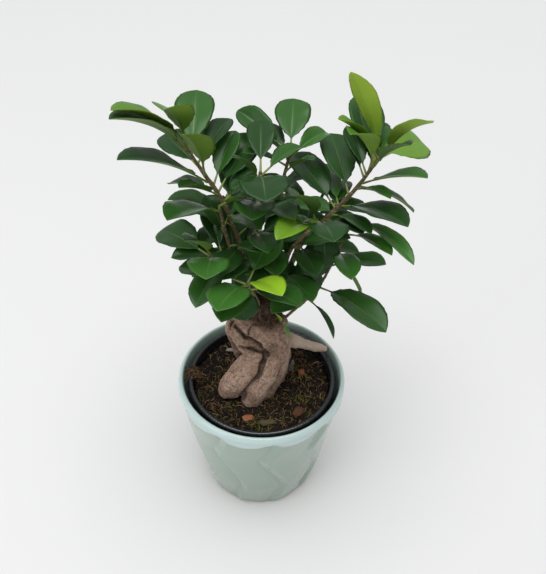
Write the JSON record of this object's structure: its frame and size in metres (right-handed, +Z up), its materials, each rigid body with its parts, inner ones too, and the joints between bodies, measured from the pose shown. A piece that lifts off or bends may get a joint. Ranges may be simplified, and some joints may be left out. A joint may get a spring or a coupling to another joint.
{
  "type": "potted bonsai tree",
  "caption": "Ficus bonsai with swollen roots, thin grafted shoots and oval leaves, in a plastic pot inside a glazed cover pot.",
  "frame": {"origin": "centre of the cover pot's flat underside", "axes": "+Z up along the pot's axis, -Y towards the front of the tree"},
  "size_m": [0.1939, 0.1623, 0.3662],
  "materials": {
    "ceramic": "gloss",
    "black_plastic": "satin",
    "soil": "matte",
    "root_bark": "matte",
    "twig_bark": "matte",
    "leaf": "satin",
    "young_leaf": "satin"
  },
  "bodies": {
    "root": {"cover_pot": "ceramic", "leaf_centre_a": "leaf", "leaf_centre_b": "leaf", "leaf_centre_c": "leaf", "leaf_centre_d": "leaf", "leaf_centre_e": "leaf", "leaf_centre_f": "leaf", "leaf_centre_g": "leaf", "leaf_front_a": "leaf", "leaf_front_b": "young_leaf", "leaf_front_c": "leaf", "leaf_front_d": "leaf", "leaf_front_e": "leaf", "leaf_left_a": "leaf", "leaf_left_b": "leaf", "leaf_left_c": "leaf", "leaf_left_d": "leaf", "leaf_left_e": "leaf", "leaf_left_g": "leaf", "leaf_left_h": "leaf", "leaf_left_j": "leaf", "leaf_low_a": "leaf", "leaf_low_b": "leaf", "leaf_mid_left_a": "leaf", "leaf_near_a": "leaf", "leaf_near_b": "leaf", "leaf_near_c": "young_leaf", "leaf_right_a": "young_leaf", "leaf_right_b": "leaf", "leaf_right_c": "leaf", "leaf_right_d": "leaf", "leaf_right_e": "leaf", "leaf_right_f": "young_leaf", "leaf_right_g": "leaf", "leaf_right_h": "leaf", "leaf_right_i": "leaf", "leaf_right_j": "leaf", "leaf_right_k": "leaf", "leaf_side_a": "leaf", "leaf_side_b": "leaf", "leaf_side_c": "leaf", "leaf_side_d": "leaf", "leaf_top_a": "leaf", "leaf_top_b": "leaf", "leaf_top_c": "leaf", "nursery_pot": "black_plastic", "soil": "soil", "trunk": "root_bark", "twig_back": "twig_bark", "twig_back_left": "twig_bark", "twig_back_right": "twig_bark", "twig_centre": "twig_bark", "twig_front": "twig_bark", "twig_left": "twig_bark", "twig_low_left": "twig_bark", "twig_mid_left": "twig_bark", "twig_near_right": "twig_bark", "twig_right": "twig_bark", "twig_side": "twig_bark", "twig_top": "twig_bark"}
  },
  "joints": []
}
